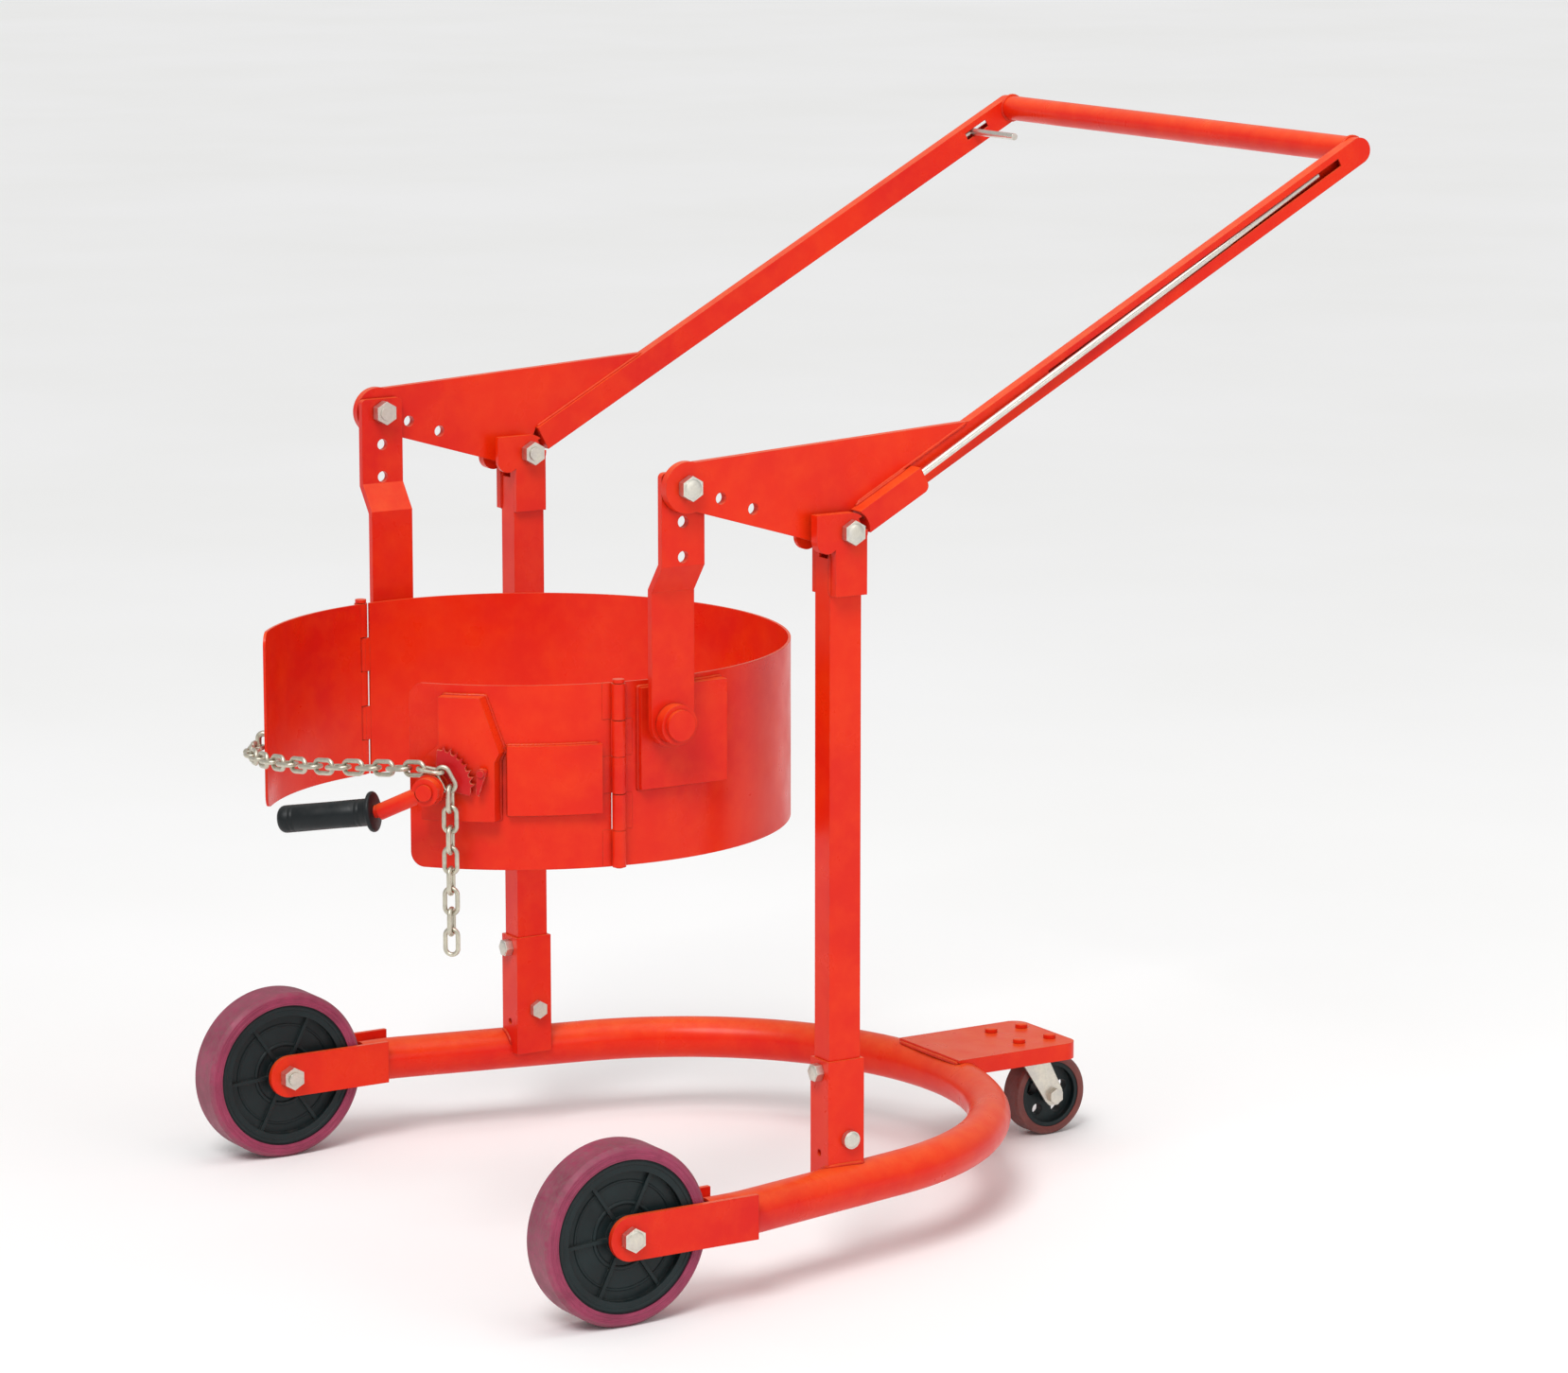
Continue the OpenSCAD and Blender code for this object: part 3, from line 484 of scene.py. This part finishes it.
corners = [(-0.028, trunnion_low.z), (0.080, trunnion_low.z), (0.080, trunnion_high.z), (-0.028, trunnion_high.z)]
outline = []
for (y0, z0), (y1, z1) in zip(corners, corners[1:] + corners[:1]):
    count = max(1, round(abs(y1 - y0) / 0.004))
    outline += [band_y(y0 + (y1 - y0) * k / count, z0 + (z1 - z0) * k / count) for k in range(count)]
beads("welds_saddle", both(outline + [outline[0]]), "saddle", 0.0024)


def rib_outline(start, side):
    """The edge of a wing's rib where it meets the sheet."""
    low, high = box_of("wing_rib_right")
    top, bottom = round(high.z * 1000), round(low.z * 1000)
    edge = [on_band(start, z / 1000, 0.0004, side) for z in range(top, bottom - 1, -4)]
    lower = [on_band(a, low.z, 0.0004, side) for a in range(start, RIB_END + 1)]
    upper = [on_band(a, high.z, 0.0004, side) for a in range(RIB_END, start - 1, -1)]
    return upper + edge[1:-1] + lower


def clamp_outline():
    """The edge of the clamp housing where it meets the wing."""
    out = []
    for (u0, z0), (u1, z1) in zip(HOUSING_CORNERS_MM, HOUSING_CORNERS_MM[1:] + HOUSING_CORNERS_MM[:1]):
        count = max(1, round(math.hypot(u1 - u0, z1 - z0) / 4))
        for k in range(count):
            u = (u0 + (u1 - u0) * k / count) / 1000
            z = (z0 + (z1 - z0) * k / count) / 1000
            turn = math.degrees(math.asin(u / BAND_RADIUS)) + math.degrees(HOUSING_ANGLE)
            out.append(on_band(turn, z, 0.0004))
    return out + [out[0]]


beads("welds_wing_right", [rib_outline(RIB_START_RIGHT, 1), clamp_outline()], "wing_r", 0.0021)
beads("welds_wing_left", [rib_outline(RIB_START_LEFT, -1)], "wing_l", 0.0021)


# ---------------------------------------------------------------- turned pieces

def lathe(profile, start, axis, verts, faces, count=48):
    """Turns (distance along, radius) pairs round an axis through start."""
    axis = axis.normalized()
    one = axis.orthogonal().normalized()
    two = axis.cross(one)
    first = len(verts)
    for along, radius in profile:
        for k in range(count):
            a = 2 * math.pi * k / count
            verts.append(start + axis * along + (one * math.cos(a) + two * math.sin(a)) * radius)
    for i in range(len(profile) - 1):
        for k in range(count):
            m = (k + 1) % count
            faces.append((first + i * count + k, first + i * count + m,
                          first + (i + 1) * count + m, first + (i + 1) * count + k))


def closed_lathe(profile, start, axis, verts, faces, count=48):
    """The same for a profile that starts and ends on itself, so that it makes a closed ring."""
    lathe(list(profile) + [profile[0]], start, axis, verts, faces, count)


def ring_profile(along, radius, wide, tall):
    """A low rounded ring lying on a surface."""
    out = []
    for k in range(12):
        a = 2 * math.pi * k / 12
        out.append((along + wide / 2 * math.cos(a), radius + tall * math.sin(a)))
    return out


X = Vector((1, 0, 0))
Z = Vector((0, 0, 1))

# Moulded rings on the wheel cores, and fine turned lines on the tyre walls
for side, body in ((1, "wheel_right"), (-1, "wheel_left")):
    hub = centre("wheel_core_right" if side > 0 else "wheel_core_left")
    name = "right" if side > 0 else "left"
    verts, faces = [], []
    for face in (-1, 1):
        closed_lathe(ring_profile(face * 0.0218, 0.0812, 0.0022, 0.0026), hub, X, verts, faces, 72)
        closed_lathe(ring_profile(face * 0.0243, 0.0192, 0.0018, 0.0024), hub, X, verts, faces, 48)
        closed_lathe(ring_profile(face * 0.0143, 0.0360, 0.0030, 0.0026), hub, X, verts, faces, 48)
        closed_lathe(ring_profile(face * 0.0143, 0.0600, 0.0020, 0.0016), hub, X, verts, faces, 64)
    piece("core_rings_" + name, verts, faces, core, body)
    verts, faces = [], []
    for face in (-1, 1):
        closed_lathe(ring_profile(face * 0.0238, 0.0880, 0.0012, 0.0011), hub, X, verts, faces, 96)
        closed_lathe(ring_profile(face * 0.0238, 0.0930, 0.0012, 0.0007), hub, X, verts, faces, 96)
    piece("tyre_lines_" + name, verts, faces, tyre, body)

# Swivel race of the caster
verts, faces = [], []
king = centre("caster_kingpin")
RACE_Z, RACE_TOP = 0.1135, 0.1166
closed_lathe(ring_profile(0.0, 0.0246, 0.0052, 0.0012), Vector((king.x, king.y, RACE_Z)), Z, verts, faces, 64)
closed_lathe(ring_profile(0.0, 0.0200, 0.0020, 0.0010), Vector((king.x, king.y, RACE_TOP)), Z, verts, faces, 48)
piece("caster_race", verts, faces, zinc, "caster_yoke")

# Grip: a smooth moulded sleeve with faint rings, a rounded nose and a rolled collar
GRIP_COUNT = 56
GRIP_RADIUS = 0.0149
hub_centre = on_clamp(0, 0, LEVER_OUT)
grip_way = (on_clamp(math.cos(GRIP_SLOPE), math.sin(GRIP_SLOPE), LEVER_OUT) - hub_centre).normalized()
grip_start = on_clamp(*CRANK_BEND, LEVER_OUT) + grip_way * GRIP_GAP


def faint_grooves(*places):
    return [(at + along, radius) for at in places
            for along, radius in ((0, GRIP_RADIUS), (0.0006, 0.0145), (0.0012, 0.0145), (0.0018, GRIP_RADIUS))]


profile = [(0.0, 0.0075), (0.0, 0.0202), (0.0006, 0.0214), (0.0018, 0.0220), (0.0034, 0.0220), (0.0046, 0.0214),
           (0.0053, 0.0202), (0.0062, 0.0166), (0.0080, GRIP_RADIUS)]
profile += faint_grooves(0.0140, 0.0190)
profile += [(0.0400, 0.0147), (0.0620, 0.0147)]
profile += faint_grooves(0.0900, 0.0950)
for k in range(7):
    a = math.pi / 2 * k / 6
    profile.append((0.1020 + 0.0078 * math.sin(a), 0.0071 + 0.0078 * math.cos(a)))
profile += [(0.1100, 0.0055), (0.1100, 0.0030), (0.1094, 0.0014)]
verts, faces = [], []
lathe(profile, grip_start, grip_way, verts, faces, GRIP_COUNT)
faces.append(tuple(range(len(verts) - GRIP_COUNT, len(verts))))
faces.append(tuple(reversed(range(GRIP_COUNT))))
lever_grip = piece("grip_sleeve", verts, faces, grip, "clamp_lever")
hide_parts("lever_grip")


# Rounded crowns on the bolt heads
def crown(name, body, spots, material=zinc):
    """Low domes, one for each (centre, direction, radius), as a single piece."""
    count = 36
    verts, faces = [], []
    for at, way, radius in spots:
        shape = [(-0.0006, radius * 0.97), (0.0, radius * 0.93), (0.0004, radius * 0.84), (0.0008, radius * 0.6),
                 (0.0009, radius * 0.3), (0.0009, 0.0004)]
        lathe(shape, at, way, verts, faces, count)
        foot = len(verts) - count * len(shape)
        faces.append(tuple(range(len(verts) - count, len(verts))))
        faces.append(tuple(reversed(range(foot, foot + count))))
    return piece(name, verts, faces, material, body)


def sides_of(node, radius):
    """Crowns for a mirrored pair of bolts that end on the outer faces of a node's box."""
    low, high = box_of(node)
    y, z = (low.y + high.y) / 2, (low.z + high.z) / 2
    return [(Vector((high.x, y, z)), X, radius), (Vector((low.x, y, z)), -X, radius)]


crown("crowns_base", "base", sides_of("wheel_axles", 0.0112) + sides_of("pivot_bolts", 0.0112)
      + sides_of("socket_bolts", 0.0094))
crown("crowns_lever", "lever", sides_of("link_bolts", 0.0112))
bolt_low, bolt_high = box_of("caster_bolts")
head = 0.0075
crown("crowns_caster", "base", [(Vector((x, y, bolt_high.z)), Z, 0.0070)
                                for x in (bolt_low.x + head, bolt_high.x - head)
                                for y in (bolt_low.y + head, bolt_high.y - head)], enamel)
screw_low, screw_high = box_of("clamp_screws")
crown("crowns_screws", "base", [(Vector((x, screw_low.y, CLAMP_SCREW_Z)), Vector((0, -1, 0)), 0.0092)
                                for x in (screw_low.x + 0.0104, screw_high.x - 0.0104)])


# ---------------------------------------------------------------- floor, light and camera

def floor_material():
    g = Graph("floor_pale")
    cloud = g.span(g.noise(0.8, 3), 0.3, 0.7)
    g.set(Base_Color=g.mix(cloud, (0.92, 0.92, 0.91), (0.95, 0.95, 0.95)), Roughness=0.75)
    return g.material


bpy.ops.mesh.primitive_plane_add(size=160, location=(0, 0, 0))
floor = bpy.context.object
floor.name = "floor"
floor.data.materials.append(floor_material())

world = bpy.data.worlds.new("studio")
bpy.context.scene.world = world
world.use_nodes = True
world.node_tree.nodes["Background"].inputs["Color"].default_value = (1.0, 1.0, 1.0, 1.0)
world.node_tree.nodes["Background"].inputs["Strength"].default_value = 0.5


def area(name, place, target, size, power, colour=(1, 1, 1)):
    light = bpy.data.lights.new(name, "AREA")
    light.shape = "DISK"
    light.size = size
    light.energy = power
    light.color = colour
    item = bpy.data.objects.new(name, light)
    bpy.context.collection.objects.link(item)
    item.location = place
    item.rotation_euler = (Vector(target) - Vector(place)).to_track_quat("-Z", "Y").to_euler()
    return item


sun = bpy.data.lights.new("key", "SUN")
sun.energy = 1.65
sun.angle = math.radians(24)
key = bpy.data.objects.new("key", sun)
bpy.context.collection.objects.link(key)
key.rotation_euler = (Vector((0, 0, 0)) - Vector((3.0, -3.6, 5.6))).to_track_quat("-Z", "Y").to_euler()
area("top", (0.6, 0.2, 3.6), (0, 0.2, 0.6), 3.0, 34)
area("side", (3.6, 1.2, 1.6), (0, 0.2, 0.7), 2.0, 16)

camera = bpy.data.cameras.new("camera")
camera.sensor_fit = "HORIZONTAL"
camera.sensor_width = 36
camera.lens = 127.7
camera.clip_end = 400
view = bpy.data.objects.new("camera", camera)
bpy.context.collection.objects.link(view)
view.location = (5.378, -2.993, 1.769)
view.rotation_euler = (math.radians(79.4), 0, math.radians(58.2))
bpy.context.scene.camera = view
bpy.context.scene.view_settings.view_transform = "Standard"
